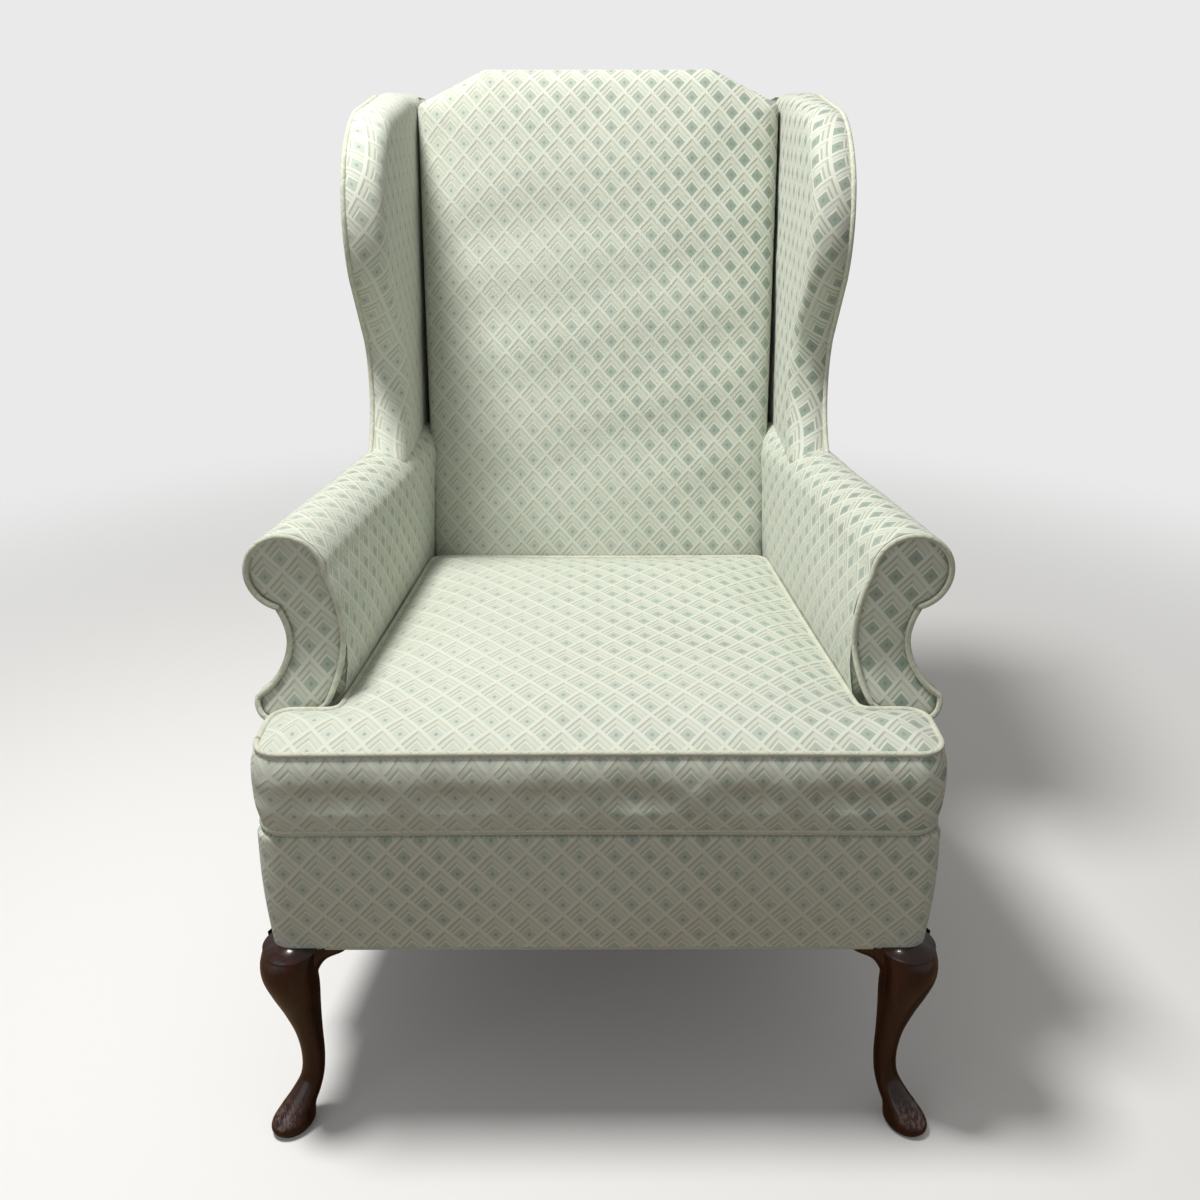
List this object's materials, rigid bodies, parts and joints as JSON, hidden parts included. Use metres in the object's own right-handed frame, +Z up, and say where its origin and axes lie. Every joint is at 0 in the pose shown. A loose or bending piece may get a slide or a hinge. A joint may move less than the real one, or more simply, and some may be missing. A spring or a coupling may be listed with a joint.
{
  "type": "wingback armchair",
  "caption": "Wingback armchair with rolled arms, loose T-shaped seat cushion and cabriole front legs, upholstered in pale diamond-patterned fabric with self piping.",
  "frame": {"origin": "on the floor, under the middle of the bounding box", "axes": "+Z up, -Y towards the front of the chair, +X to the right as seen from the front"},
  "size_m": [0.7268, 0.8412, 1.0778],
  "materials": {
    "cover": "ivory and pale sage jacquard with a diamond lattice",
    "piping": "self piping",
    "show_wood": "dark red-brown gloss",
    "frame_wood": "raw hardwood",
    "padding": "foam and wadding",
    "burlap": "coarse jute weave",
    "deck_cloth": "plain cotton",
    "black_cloth": "thin matt cloth",
    "steel": "bare spring steel",
    "zip_tape": "woven tape",
    "zip_metal": "plain brass"
  },
  "bodies": {
    "chair": {"arm_front_panel_left": "cover", "arm_front_panel_right": "cover", "arm_front_welts": "piping", "arm_pad_left": "padding", "arm_pad_right": "padding", "arm_rail_left": "frame_wood", "arm_rail_right": "frame_wood", "arm_stump_left": "frame_wood", "arm_stump_right": "frame_wood", "arm_tack_rail_left": "frame_wood", "arm_tack_rail_right": "frame_wood", "back_pad": "padding", "back_post_left": "frame_wood", "back_post_right": "frame_wood", "back_rail": "frame_wood", "back_webbing": "burlap", "base_welt": "piping", "corner_blocks": "frame_wood", "corner_screws": "steel", "crest_rail": "frame_wood", "deck_burlap": "burlap", "deck_cover": "deck_cloth", "deck_pad": "padding", "dust_cover": "black_cloth", "front_border": "cover", "front_edge_roll": "padding", "front_leg_left": "show_wood", "front_leg_right": "show_wood", "front_rail": "frame_wood", "inside_arm_cover_left": "cover", "inside_arm_cover_right": "cover", "inside_back_cover": "cover", "inside_wing_cover_left": "cover", "inside_wing_cover_right": "cover", "knee_blocks": "show_wood", "leg_bolts": "steel", "outside_arm_cover_left": "cover", "outside_arm_cover_right": "cover", "outside_back_cover": "cover", "outside_wing_cover_left": "cover", "outside_wing_cover_right": "cover", "rear_leg_left": "show_wood", "rear_leg_right": "show_wood", "rear_rail": "frame_wood", "seat_springs": "steel", "side_rail_left": "frame_wood", "side_rail_right": "frame_wood", "spring_clips": "steel", "wing_frame_left": "frame_wood", "wing_frame_right": "frame_wood", "wing_pad_left": "padding", "wing_pad_right": "padding", "wing_welts": "piping"},
    "cushion": {"cushion_core": "padding", "cushion_cover": "cover", "cushion_zip": "zip_tape", "cushion_welts": "piping"},
    "zip_slider": {"zip_slider": "zip_metal"}
  },
  "joints": [
    {"name": "cushion_lift", "type": "slide", "parent": "chair", "child": "cushion", "axis": [0, -0.8944, 0.4472], "range_m": [0, 0.7]},
    {"name": "zip_slide", "type": "slide", "parent": "cushion", "child": "zip_slider", "axis": [1, 0, 0], "range_m": [0, 0.36]}
  ]
}
